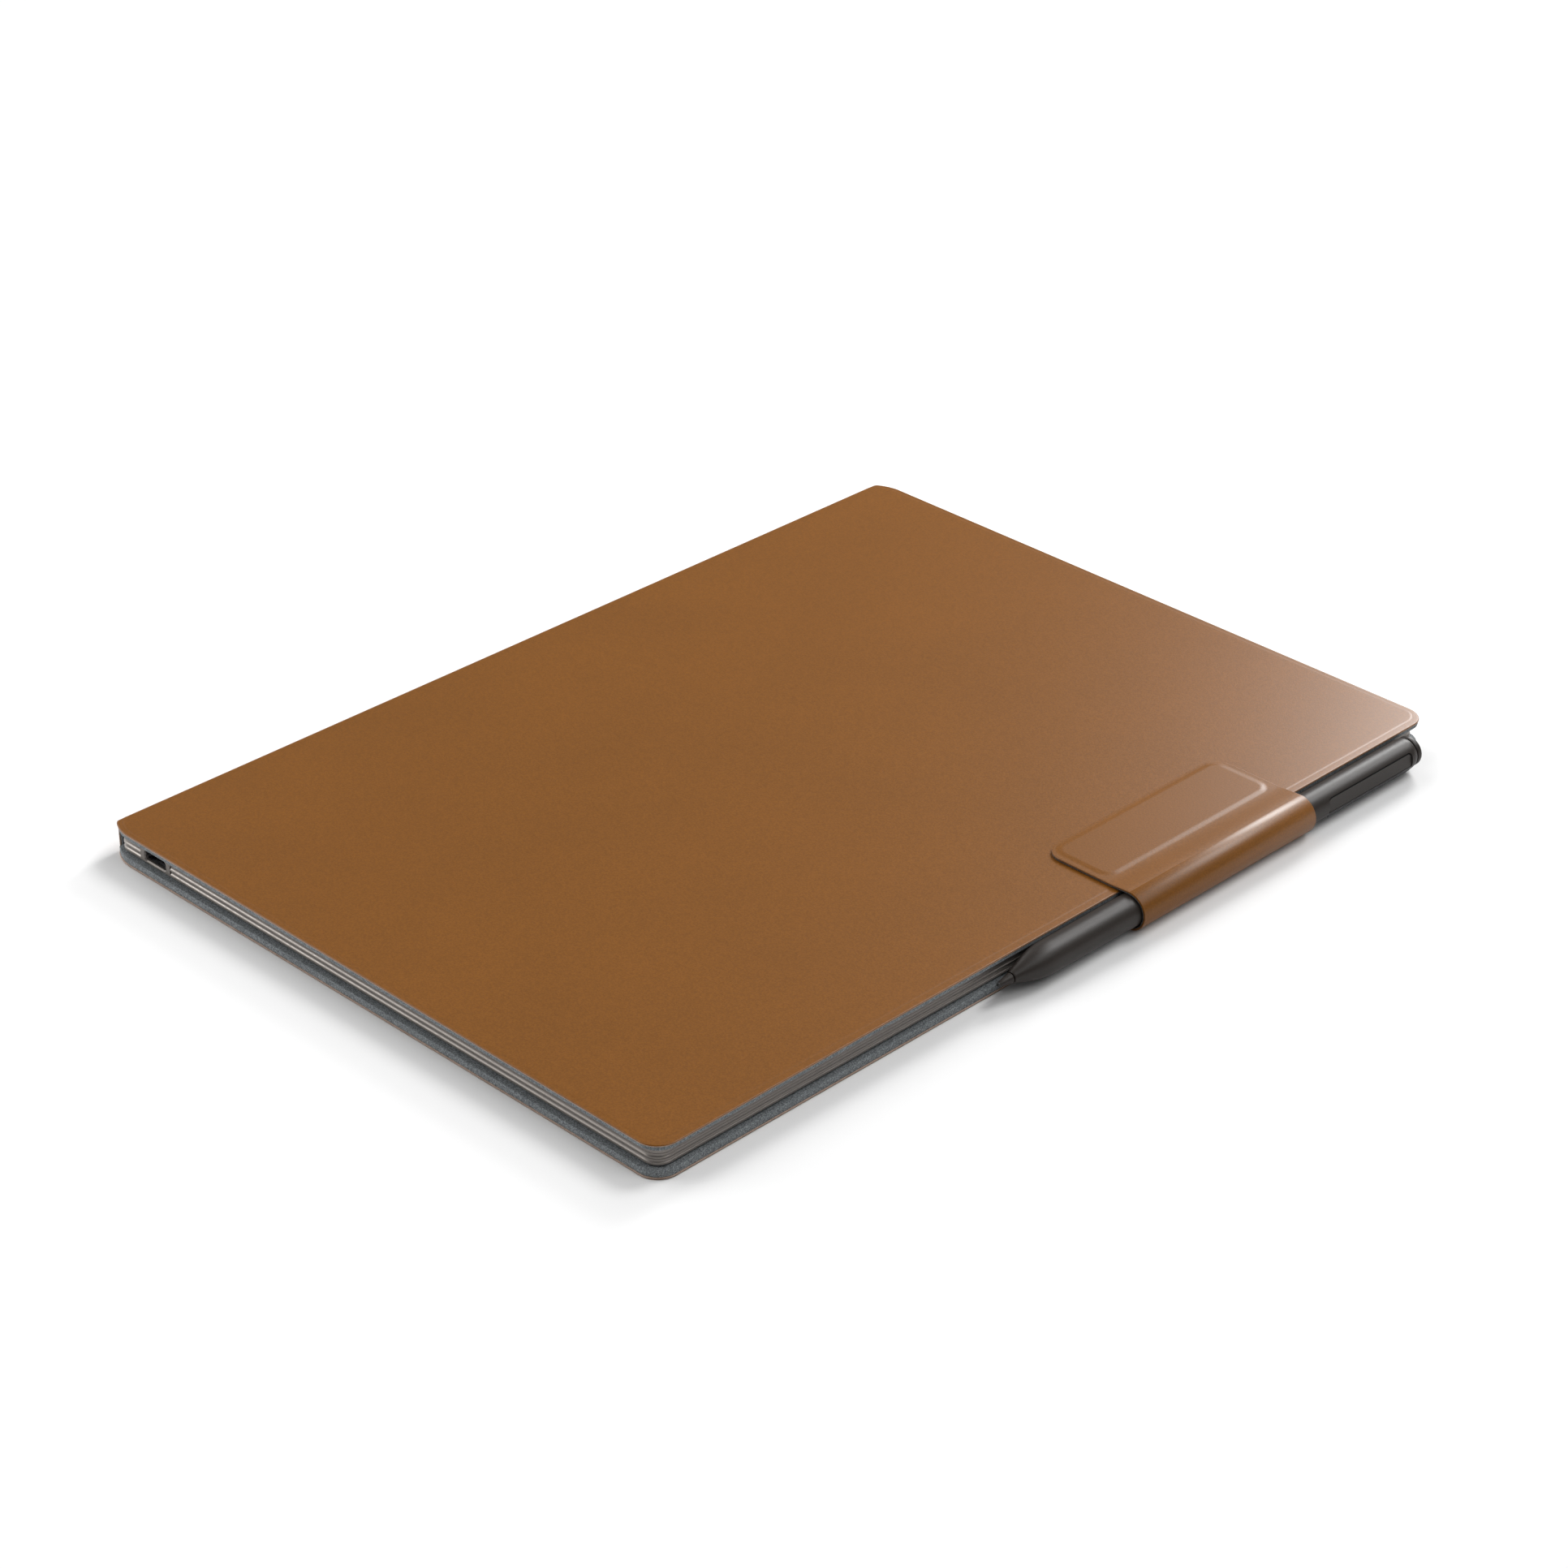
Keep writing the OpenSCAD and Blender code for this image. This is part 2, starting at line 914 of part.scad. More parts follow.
module power_switch() {
    on_tablet()
        color([0.15, 0.15, 0.15])
            translate([button_x, tablet_h / 2 - wall_t - 2.6, deck_h - 0.1]) {
                translate([-3, -1.2, -1.5])
                    cube([6, 2.4, 1.5]);
                translate([-7, -1.2, 0])
                    cube([14, 2.4, 0.1]);
            }
}

module power_button() {
    on_tablet()
        color(metal_color)
            translate([button_x, 0, button_h]) {
                translate([0, tablet_h / 2 - wall_t - 0.6, 0])
                    slot(button_w, button_t, wall_t + 0.6 + button_travel);
                translate([-6.5, tablet_h / 2 - wall_t - 1, -1.2])
                    cube([13, 0.9, 1.6]);
            }
}

// ---- marker ----

// Outer half section of the barrel: a convex nose, a straight run, a small end bevel
module barrel_half() {
    end_x = nose_start + nose_l;
    dx = nose_l;
    dr = marker_r - nose_start_r;
    chord = sqrt(dx * dx + dr * dr);
    rise = sqrt(nose_arc_r * nose_arc_r - chord * chord / 4);
    mid = [(marker_r + nose_start_r) / 2, nose_start + dx / 2];
    center = [mid[0] - rise * dx / chord, mid[1] + rise * dr / chord];
    polygon([
        [0, end_x], [marker_r, end_x], [marker_r, barrel_end - 1.3],
        [eraser_r + 0.05, barrel_end], [0, barrel_end]
    ]);
    intersection() {
        translate(center)
            circle(nose_arc_r, $fn = 180);
        translate([0, nose_start])
            square([marker_r, nose_l]);
    }
}

module marker_barrel() {
    on_marker()
        color(marker_color)
            difference() {
                rotate_extrude()
                    barrel_half();
                translate([0, 0, nose_start - 1])
                    cylinder(r = 1, h = 12);
                translate([0, 0, nose_start + 8])
                    cylinder(r = bore_r - 1.2, h = 6);
                translate([0, 0, nose_start + nose_l])
                    cylinder(r = bore_r, h = barrel_end - nose_start - nose_l - 2);
                translate([0, 0, barrel_end - 4])
                    cylinder(r = 1.6, h = 5);
                translate([marker_r - facet_depth, 0, facet_start])
                    facet_cut();
            }
}

// Shallow flat on the outer side of the barrel, with two rounded corners
module facet_cut() {
    rotate([0, 90, 0])
        linear_extrude(2)
            translate([-facet_l / 2, 0])
                rounded_rect(facet_l, 6, 1.2);
}

// Thin rail along the lower edge of the flat
module marker_rail() {
    on_marker()
        color([0.13, 0.13, 0.13])
            translate([marker_r - facet_depth, 1.5, facet_start + 0.3])
                cube([0.25, 0.6, facet_l - 1]);
}

module marker_board() {
    on_marker()
        color(board_color)
            translate([-2.6, -0.4, 30])
                cube([5.2, 0.8, 44]);
}

module marker_cell() {
    on_marker()
        color([0.20, 0.35, 0.60])
            translate([0, 0, 78])
                cylinder(r = 2.9, h = 34);
}

module marker_antenna() {
    on_marker()
        color([0.72, 0.40, 0.18])
            translate([0, 0, nose_start + nose_l + 1])
                difference() {
                    cylinder(r = bore_r - 0.05, h = 10);
                    translate([0, 0, -1])
                        cylinder(r = 1.6, h = 12);
                }
}

module marker_charge_coil() {
    on_marker()
        color([0.72, 0.40, 0.18])
            translate([0, 0, 114])
                difference() {
                    cylinder(r = bore_r - 0.05, h = 4);
                    translate([0, 0, -1])
                        cylinder(r = 2.2, h = 6);
                }
}

module marker_magnets() {
    on_marker()
        color(magnet_color)
            for (z = [120 : 10 : 140])
                translate([0, 0, z])
                    cylinder(r = 2.6, h = 8);
}

// ---- nib and eraser ----

module nib_cone() {
    on_marker()
        color([0.42, 0.41, 0.40])
            translate([0, 0, 0.7])
                cylinder(r1 = 0.6, r2 = cone_base_r, h = cone_l - 0.7);
}

module nib_point() {
    on_marker()
        color([0.06, 0.06, 0.06])
            rotate_extrude()
                intersection() {
                    translate([0, 0.55])
                        circle(0.55);
                    square([1, 0.7]);
                }
}

module nib_stem() {
    on_marker()
        color([0.25, 0.25, 0.25])
            translate([0, 0, cone_l])
                cylinder(r = 0.7, h = 16);
}

module eraser_cap() {
    edge = 0.5;
    on_marker()
        color([0.35, 0.34, 0.34])
            translate([0, 0, marker_l - eraser_l])
                rotate_extrude() {
                    square([eraser_r, eraser_l - edge]);
                    square([eraser_r - edge, eraser_l]);
                    translate([eraser_r - edge, eraser_l - edge])
                        circle(edge);
                }
}

module eraser_stem() {
    on_marker()
        color([0.25, 0.25, 0.25])
            translate([0, 0, marker_l - eraser_l - 4])
                cylinder(r = 1.2, h = 4);
}

back_leather();
back_lining();
back_board();
back_magnets();
strap_root();
spine_leather();
spine_lining();
spine_board();
front_leather();
front_lining();
front_board();
front_magnet();
catch_plate();
strap_lower_leather();
strap_lower_lining();
strap_upper_leather();
strap_upper_lining();
flap_leather();
flap_lining();
flap_magnet();
mid_frame();
back_panel();
panel_adhesive();
rubber_feet();
cover_glass();
glass_adhesive();
light_guide();
light_strip();
paper_display();
pen_sensor();
display_flex();
main_board();
board_shield();
board_chips();
board_screws();
usb_shell();
usb_tongue();
battery_cells();
battery_board();
battery_flex();
charge_coil();
marker_holder_magnets();
dock_magnets();
radio_antenna();
accessory_contacts();
power_switch();
power_button();
marker_barrel();
marker_rail();
marker_board();
marker_cell();
marker_antenna();
marker_charge_coil();
marker_magnets();
nib_cone();
nib_point();
nib_stem();
eraser_cap();
eraser_stem();
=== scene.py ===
import math

import bpy
import numpy as np
from mathutils import Matrix, Vector


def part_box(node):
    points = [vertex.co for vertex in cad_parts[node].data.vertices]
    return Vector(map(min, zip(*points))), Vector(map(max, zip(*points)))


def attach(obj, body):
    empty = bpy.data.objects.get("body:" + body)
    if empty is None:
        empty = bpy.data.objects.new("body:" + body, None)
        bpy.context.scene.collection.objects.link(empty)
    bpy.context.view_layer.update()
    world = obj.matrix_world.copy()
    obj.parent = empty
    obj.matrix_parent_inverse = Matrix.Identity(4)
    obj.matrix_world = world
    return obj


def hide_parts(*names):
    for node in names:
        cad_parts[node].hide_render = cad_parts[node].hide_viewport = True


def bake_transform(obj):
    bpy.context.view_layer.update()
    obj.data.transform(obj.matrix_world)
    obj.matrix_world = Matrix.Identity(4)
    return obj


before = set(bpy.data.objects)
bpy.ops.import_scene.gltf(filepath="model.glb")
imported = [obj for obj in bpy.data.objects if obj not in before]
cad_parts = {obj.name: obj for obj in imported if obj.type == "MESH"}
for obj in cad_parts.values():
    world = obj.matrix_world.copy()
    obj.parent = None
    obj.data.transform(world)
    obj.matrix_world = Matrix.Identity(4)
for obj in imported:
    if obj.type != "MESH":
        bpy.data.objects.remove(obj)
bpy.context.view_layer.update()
MM = 0.001


def box_mm(node):
    """Lowest and highest corner of a CAD node, in mm."""
    lo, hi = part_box(node)
    return lo / MM, hi / MM


# ---------------------------------------------------------------- sizes, in mm
SX = box_mm("spine_leather")[0].x            # the spine's outer face
COVER_R, HALF_H, FOLIO_T = box_mm("front_leather")[1]
COVER_W = COVER_R - SX                       # X below is measured from the spine's outer face
FRONT_T = FOLIO_T - box_mm("front_lining")[0].z
BACK_T = box_mm("back_lining")[1].z
LEATHER_T = box_mm("back_lining")[0].z
LINING_IN = COVER_R - box_mm("back_lining")[1].x
LINING_X0 = box_mm("back_lining")[0].x - SX
FREE_R = 6.0                                 # cover corners on the free side
SPINE_R, SPINE_ARC_X = 12.9, 8.6             # cover corners at the spine and where they start
BEND_R = 1.6                                 # outer radius of the spine's two bends
SEAM_X = 9.0                                 # where the flat covers end and the folds begin
TAB_LO, TAB_HI = box_mm("mid_frame")
BAR_LO, BAR_HI = box_mm("marker_barrel")
MX, MZ = (BAR_LO.x + BAR_HI.x) / 2 - SX, (BAR_LO.z + BAR_HI.z) / 2
NIB_Y = box_mm("nib_point")[0].y
ROOT_LO, ROOT_HI = box_mm("strap_root")
STRAP_Y, STRAP_W = (ROOT_LO.y + ROOT_HI.y) / 2, ROOT_HI.y - ROOT_LO.y
R_OUT = box_mm("strap_lower_leather")[1].x - SX - MX
R_MID = box_mm("strap_lower_lining")[1].x - SX - MX
STRAP_T = 0.8                                # leather and lining together
R_IN = MZ - STRAP_T                          # the wrap touches the floor, so its outer radius is MZ
FLAP_X = box_mm("flap_leather")[0].x - SX
FLAP_R = 5.5                                 # the flap's corners
FLAP_GAP = 0.05                              # between the flap's lining and the front cover
FLAP_Z = FOLIO_T + FLAP_GAP + R_OUT - R_IN
FLAP_RISE = 7.5                              # run of the soft rise from the flap to the crest
PLATE = (185.75, STRAP_Y, 18.6, 62.2, 3.6)   # raised plate in the flap: centre, size, corner radius
PLATE_H = 0.18
PLATE_EDGE = (-0.8, 1.2)                     # where the plate's soft step starts and ends, from its outline
BARREL_R = 4.3
BARREL_Y0, BARREL_Y1 = 4.9, 157.3            # barrel's ends, measured from the nib's point
FLAT = (137.8, -0.33, 34.4, 6.22, 1.3)       # flat on the marker: centre, size, corner radius
ARC_MM = 0.075                               # length on the barrel of one degree round it
FLAT_DIST, FLAT_TILT = 3.84, 8               # flat's distance from the axis, degrees it leans up
GROOVE_W, GROOVE_D = 0.34, 0.26              # groove round the flat
WINDOW_X, WINDOW_Y = 89.8, 119.7             # half size of the clear window in the glass


# ---------------------------------------------------------------- mesh helpers
def make(name, verts, faces, material, sharp):
    """A smooth-shaded mesh object from points in mm measured from the spine's outer face; edges
    over sharp degrees stay hard."""
    co = np.asarray(verts, float).reshape(-1, 3).copy()
    co[:, 0] += SX
    co *= MM
    me = bpy.data.meshes.new(name)
    me.from_pydata(co.tolist(), [], [tuple(int(i) for i in f) for f in faces])
    me.validate()
    me.update()
    ob = bpy.data.objects.new(name, me)
    bpy.context.scene.collection.objects.link(ob)
    for m in material if isinstance(material, (list, tuple)) else [material]:
        me.materials.append(m)
    me.polygons.foreach_set("use_smooth", [True] * len(me.polygons))
    me.set_sharp_from_angle(angle=math.radians(sharp))
    return ob


class Build:
    """Collects points and faces of one mesh."""

    def __init__(self):
        self.v, self.f, self.n = [], [], 0

    def add(self, pts):
        pts = np.asarray(pts, float).reshape(-1, 3)
        ids = np.arange(self.n, self.n + len(pts))
        self.v.append(pts)
        self.n += len(pts)
        return ids

    def grid(self, ids, flip=False, wrap=False):
        """Faces over a 2-D array of point numbers."""
        ids = np.asarray(ids)
        if wrap:
            ids = np.concatenate([ids, ids[:, :1]], axis=1)
        a, b, c, d = ids[:-1, :-1], ids[1:, :-1], ids[1:, 1:], ids[:-1, 1:]
        q = np.stack([a, b, c, d] if not flip else [a, d, c, b], axis=-1).reshape(-1, 4)
        self.f.extend(q.tolist())

    def face(self, ids):
        self.f.append([int(i) for i in ids])

    def points(self):
        return np.concatenate(self.v)


def cover_y(x, inset):
    """Half length of the cover at x, drawn in by inset, on its spine side."""
    base = HALF_H - inset
    if x >= SPINE_ARC_X:
        return base
    r = SPINE_R - inset
    return HALF_H - SPINE_R + math.sqrt(max(0.0, r * r - (SPINE_ARC_X - x) ** 2))


def cover_line(inset, x0, side=0.0):
    """The cover's free outline, from x0 on the -Y edge round to x0 on the +Y edge; it is
    drawn in by inset, and by side more on the marker side."""
    pts = []
    if x0 < SPINE_ARC_X:
        for x in np.linspace(x0, SPINE_ARC_X, 12)[:-1]:
            pts.append((x, -cover_y(x, inset)))
        pts.append((SPINE_ARC_X, -(HALF_H - inset)))
    else:
        pts.append((x0, -(HALF_H - inset)))
    r = FREE_R - inset
    xs = COVER_W - FREE_R
    for cy, a0 in ((FREE_R - HALF_H, -90), (HALF_H - FREE_R, 0)):
        a = np.radians(np.linspace(a0, a0 + 90, 20))
        pts += np.stack([xs + (r - side) * np.cos(a), cy + r * np.sin(a)], axis=1).tolist()
    if x0 < SPINE_ARC_X:
        pts.append((SPINE_ARC_X, HALF_H - inset))
        for x in np.linspace(x0, SPINE_ARC_X, 12)[:-1][::-1]:
            pts.append((x, cover_y(x, inset)))
    else:
        pts.append((x0, HALF_H - inset))
    return np.array(pts)


# inset from the cut edge, depth under the grain side; a soft step runs round the border
T = LEATHER_T
EDGE = [(3.2, T), (0.22, T), (0.10, T - 0.03), (0.03, T - 0.09), (0.0, T - 0.17), (0.0, 0.28),
        (0.02, 0.21), (0.07, 0.14), (0.14, 0.09), (0.24, 0.062), (0.4, 0.052), (1.15, 0.05), (1.28, 0.047),
        (1.40, 0.040), (1.52, 0.030), (1.64, 0.018), (1.76, 0.008), (1.9, 0.002), (2.1, 0.0), (3.2, 0.0)]


def smooth(a, b, x):
    """0 up to a, 1 from b on, and an even step in between."""
    t = np.clip((x - a) / (b - a), 0, 1)
    return t * t * (3 - 2 * t)


def edge_side(inset, depth):
    """How much further in the pressed line runs on the marker side."""
    return 0.7 * float(smooth(0.5, 1.1, inset)) if depth < T / 2 else 0.0


def cover_skin(name, top, material):
    """Flat leather of one cover, from the fold's seam to the free edges."""
    b = Build()
    rings = []
    z0, s = (FOLIO_T, -1) if top else (0.0, 1)
    for inset, depth in EDGE:
        line = cover_line(inset, SEAM_X, side=edge_side(inset, depth))
        rings.append(b.add(np.column_stack([line, np.full(len(line), z0 + s * depth)])))
    b.grid(rings, flip=not top)
    b.face(rings[-1] if top else rings[-1][::-1])
    b.face(rings[0][::-1] if top else rings[0])
    ob = make(name, b.points(), b.f, [material, CUT], sharp=50)
    paint_cut(ob, z0, s)
    return ob


def paint_cut(ob, z0, s):
    """Gives the leather's cut edge its own material: all that lies deeper than the grain side."""
    for poly in ob.data.polygons:
        depth = (poly.center.z / MM - z0) * s
        if depth > 0.26 and abs(poly.normal.z) < 0.9 or depth > T - 0.1 and len(poly.vertices) == 4:
            poly.material_index = 1


def fold_skin(name, top, material):
    """Leather round one bend of the spine: from the flat cover to the middle of the spine."""
    path = []                                # x, z from the cover's outer face, outward normal
    for x in np.linspace(SEAM_X, BEND_R, 26)[:-1]:
        path.append((x, 0.0, 0.0, 1.0))
    for a in np.radians(np.linspace(90, 180, 20)):
        path.append((BEND_R + BEND_R * math.cos(a), BEND_R * math.sin(a) - BEND_R,
                     math.cos(a), math.sin(a)))
    for z in np.linspace(-BEND_R, -FOLIO_T / 2, 10)[1:]:
        path.append((0.0, z, -1.0, 0.0))
    b = Build()
    rows = []
    for x, z, nx, nz in path:
        row = []
        for edge, side in ((EDGE, -1), (EDGE[::-1], 1)):
            for inset, d in edge:
                row.append((x - nx * d, side * cover_y(max(x, 0.0), inset), z - nz * d))
        row = np.array(row)
        row[:, 2] = FOLIO_T + row[:, 2] if top else -row[:, 2]
        rows.append(b.add(row))
    b.grid(rows, flip=top, wrap=True)
    ob = make(name, b.points(), b.f, [material, CUT], sharp=50)
    k = 2 * len(EDGE)                        # faces in one row round the skin
    for i, poly in enumerate(ob.data.polygons):
        j = i % k
        if min(j, k - 2 - j) < (10 if i > 26 * k else 5):
            poly.material_index = 1
    return ob


def slab(name, inset, x0, z0, z1, material, rnd):
    """A flat layer with the cover's outline and slightly rounded edges."""
    b = Build()
    rings = []
    prof = []
    for a0, z in ((-90, z0 + rnd), (0, z1 - rnd)):
        for a in np.radians(np.linspace(a0, a0 + 90, 5)):
            prof.append((rnd - rnd * math.cos(a), z + rnd * math.sin(a)))
    for di, z in prof:
        line = cover_line(inset + di, x0)
        rings.append(b.add(np.column_stack([line, np.full(len(line), z)])))
    b.grid(rings, wrap=True)
    b.face(rings[-1])
    b.face(rings[0][::-1])
    return make(name, b.points(), b.f, material, sharp=50)


# ---------------------------------------------------------------- materials
def tree(name):
    """A new material with a Principled shader: it, its node tree, the shader and the coordinates."""
    m = bpy.data.materials.new(name)
    m.use_nodes = True
    nt = m.node_tree
    nt.nodes.clear()
    out = nt.nodes.new("ShaderNodeOutputMaterial")
    p = nt.nodes.new("ShaderNodeBsdfPrincipled")
    nt.links.new(p.outputs[0], out.inputs[0])
    co = nt.nodes.new("ShaderNodeTexCoord")
    return m, nt, p, co.outputs["Object"]


def lin(rgb):
    """Linear colour from sRGB values of 0 to 255."""
    return [((c / 255) / 12.92 if c <= 10 else ((c / 255 + 0.055) / 1.055) ** 2.4) for c in rgb] + [1.0]


def noise(nt, co, scale, detail=2.0, rough=0.5):
    n = nt.nodes.new("ShaderNodeTexNoise")
    n.inputs["Scale"].default_value = scale
    n.inputs["Detail"].default_value = detail
    n.inputs["Roughness"].default_value = rough
    nt.links.new(co, n.inputs["Vector"])
    return n.outputs["Fac"]


def ramp(nt, fac, stops):
    """A colour ramp over fac from (position, colour) stops."""
    r = nt.nodes.new("ShaderNodeValToRGB")
    e = r.color_ramp.elements
    while len(e) < len(stops):
        e.new(0.5)
    for i, (p, c) in enumerate(stops):
        e[i].position = p
        e[i].color = c if len(c) == 4 else list(c) + [1.0]
    nt.links.new(fac, r.inputs[0])
    return r.outputs[0]


def math_node(nt, op, a, b=None, c=None):
    """A math node; each operand is a number or an output socket."""
    n = nt.nodes.new("ShaderNodeMath")
    n.operation = op
    for i, v in enumerate([a, b, c]):
        if v is None:
            continue
        if isinstance(v, (int, float)):
            n.inputs[i].default_value = v
        else:
            nt.links.new(v, n.inputs[i])
    return n.outputs[0]


def mixc(nt, fac, a, b, kind="MIX"):
    n = nt.nodes.new("ShaderNodeMix")
    n.data_type = "RGBA"
    n.blend_type = kind
    for sock, v in ((n.inputs[0], fac), (n.inputs[6], a), (n.inputs[7], b)):
        if isinstance(v, (int, float)):
            sock.default_value = v
        elif isinstance(v, (list, tuple)):
            sock.default_value = v
        else:
            nt.links.new(v, sock)
    return n.outputs[2]


def bump(nt, p, height, strength, dist, chain=None):
    """Bumps from height on shader p, on top of the bump output chain where one is given."""
    n = nt.nodes.new("ShaderNodeBump")
    n.inputs["Strength"].default_value = strength
    n.inputs["Distance"].default_value = dist
    nt.links.new(height, n.inputs["Height"])
    if chain is not None:
        nt.links.new(chain, n.inputs["Normal"])
    nt.links.new(n.outputs[0], p.inputs["Normal"])
    return n.outputs[0]


def leather(name, base):
    """Fine-grained leather: cells of about 0.3 mm, faint unevenness, a satin finish."""
    m, nt, p, co = tree(name)
    broad = noise(nt, co, 30, 3, 0.5)
    fine = noise(nt, co, 2300, 2, 0.6)
    col = ramp(nt, broad, [(0.3, lin([c * 0.985 for c in base])), (0.7, lin([c * 1.015 for c in base]))])
    speckle = ramp(nt, fine, [(0.35, (0.0, 0.0, 0.0)), (0.65, (1.0, 1.0, 1.0))])
    col = mixc(nt, 0.14, col, speckle, "OVERLAY")
    nt.links.new(col, p.inputs["Base Color"])
    r = ramp(nt, fine, [(0.2, (0.34,) * 3), (0.8, (0.39,) * 3)])
    nt.links.new(r, p.inputs["Roughness"])
    p.inputs["Specular IOR Level"].default_value = 0.30
    vor = nt.nodes.new("ShaderNodeTexVoronoi")
    vor.inputs["Scale"].default_value = 3200
    nt.links.new(co, vor.inputs["Vector"])
    h1 = bump(nt, p, vor.outputs["Distance"], 0.08, 0.00008)
    bump(nt, p, fine, 0.11, 0.00010, h1)
    return m


def weave(name, dark, light):
    """Fine speckled weave, specks about 0.3 mm across."""
    m, nt, p, co = tree(name)
    a = noise(nt, co, 3200, 1, 0.6)
    b = noise(nt, co, 5200, 1, 0.5)
    f = math_node(nt, "MULTIPLY_ADD", a, 0.6, math_node(nt, "MULTIPLY", b, 0.4))
    mid = [(x + y) / 2 for x, y in zip(dark, light)]
    col = ramp(nt, f, [(0.36, lin(dark)), (0.5, lin(mid)), (0.64, lin(light))])
    nt.links.new(col, p.inputs["Base Color"])
    p.inputs["Roughness"].default_value = 0.85
    p.inputs["Specular IOR Level"].default_value = 0.25
    bump(nt, p, f, 0.6, 0.0002)
    return m


def surface(name, base, rough=0.5, metal=0.0, scale=1500, vary=0.06, bumps=0.1, spec=0.5, spread=0.06,
            stretch=None):
    """A hard surface with fine tonal variation, uneven polish and a faint texture."""
    m, nt, p, co = tree(name)
    if stretch is not None:
        mp = nt.nodes.new("ShaderNodeMapping")
        mp.inputs["Scale"].default_value = stretch
        nt.links.new(co, mp.inputs["Vector"])
        co = mp.outputs[0]
    f = noise(nt, co, scale, 3, 0.6)
    col = ramp(nt, f, [(0.3, lin([min(255, c * (1 - vary)) for c in base])),
                       (0.7, lin([min(255, c * (1 + vary)) for c in base]))])
    nt.links.new(col, p.inputs["Base Color"])
    r = ramp(nt, noise(nt, co, scale * 0.35, 2), [(0.3, (max(0.02, rough - spread),) * 3),
                                                  (0.7, (rough + spread,) * 3)])
    nt.links.new(r, p.inputs["Roughness"])
    p.inputs["Metallic"].default_value = metal
    p.inputs["Specular IOR Level"].default_value = spec
    bump(nt, p, f, bumps, 0.0001)
    return m


LEATHER = leather("leather", (114, 70, 19))
CUT = surface("leather_cut", (152, 133, 120), 0.8, scale=2400, vary=0.12, bumps=0.3, spec=0.3)
LINING = weave("woven_lining", (78, 82, 85), (142, 147, 149))
STRAP_LINING = weave("strap_lining", (48, 47, 46), (90, 88, 86))
METAL = surface("anodised_frame", (124, 118, 113), 0.38, 0.6, 3500, 0.04, 0.06)
MARKER = surface("marker_coating", (37, 31, 27), 0.42, 0.0, 5000, 0.2, 0.22, spec=0.30, spread=0.02)
# painted shade: near-black, darker than the coating, for the groove round the marker's flat and the strip
# below it
MARKER_PAINTED_SHADE = surface("marker_painted_shade", (11, 10, 10), 0.40, 0.0, 3000, 0.2, 0.1, spec=0.25)
BLACK = surface("black_plastic", (18, 18, 18), 0.45, 0.0, 2500, 0.2, 0.1)
STEEL = surface("bright_steel", (196, 196, 198), 0.28, 1.0, 1200, 0.05, 0.05)

# ---------------------------------------------------------------- folio
front_skin = cover_skin("front_cover_leather", True, LEATHER)
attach(front_skin, "front_cover")
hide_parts("front_leather")
back_skin = cover_skin("back_cover_leather", False, LEATHER)
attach(back_skin, "folio_back")
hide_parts("back_leather")
for nm, top in (("spine_fold_leather_top", True), ("spine_fold_leather_low", False)):
    ob = fold_skin(nm, top, LEATHER)
    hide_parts("spine_leather")
    if top:
        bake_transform(ob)
    else:
        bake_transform(ob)

ob = slab("front_cover_lining", LINING_IN - 0.15, LINING_X0, FOLIO_T - FRONT_T,
          FOLIO_T - LEATHER_T - 0.01, LINING, 0.14)
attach(ob, "front_cover")
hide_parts("front_lining", "front_board", "front_magnet", "catch_plate")
ob = slab("back_cover_lining", LINING_IN - 0.2, LINING_X0, LEATHER_T + 0.01, BACK_T, LINING, 0.2)
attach(ob, "folio_back")
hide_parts("back_lining", "back_board", "back_magnets")


def spine_strip():
    """The woven strip down the inside of the spine."""
    b = Build()
    rings = []
    lo, hi = box_mm("spine_lining")
    z0, z1, half = lo.z, hi.z, hi.y
    # x of each ring of the strip and how far its corners are drawn in there
    for x, r in ((LEATHER_T + 0.005, 0.0), (0.95, 0.0), (1.05, 0.05), (1.1, 0.15)):
        pts = [(x, -half + r, z0 + r), (x, half - r, z0 + r), (x, half - r, z1 - r), (x, -half + r, z1 - r)]
        rings.append(b.add(pts))
    b.grid(rings, wrap=True)
    b.face(rings[-1])
    b.face(rings[0][::-1])
    return make("spine_inner_lining", b.points(), b.f, LINING, sharp=40)


ob = spine_strip()
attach(ob, "spine")
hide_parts("spine_lining", "spine_board")


# ---------------------------------------------------------------- strap
def strap_arc(name, a0, a1, r0, r1, material, rnd):
    """Part of the wrap round the marker between two angles and two radii."""
    b = Build()
    rows = []
    y0, y1 = STRAP_Y - STRAP_W / 2, STRAP_Y + STRAP_W / 2
    for a in np.radians(np.linspace(a0, a1, 49)):
        row = []
        for y, s in ((y0, 1), (y1, -1)):
            loop = [(r0, rnd), (r0 + rnd * 0.3, rnd * 0.3), (r0 + rnd, 0.0), (r1 - rnd, 0.0),
                    (r1 - rnd * 0.3, rnd * 0.3), (r1, rnd)]
            if s < 0:
                loop = loop[::-1]
            for r, d in loop:
                row.append((MX + r * math.cos(a), y + s * d, MZ + r * math.sin(a)))
        rows.append(b.add(row))
    b.grid(rows, wrap=True)
    b.face(rows[0][::-1])
    b.face(rows[-1])
    return make(name, b.points(), b.f, material, sharp=40)


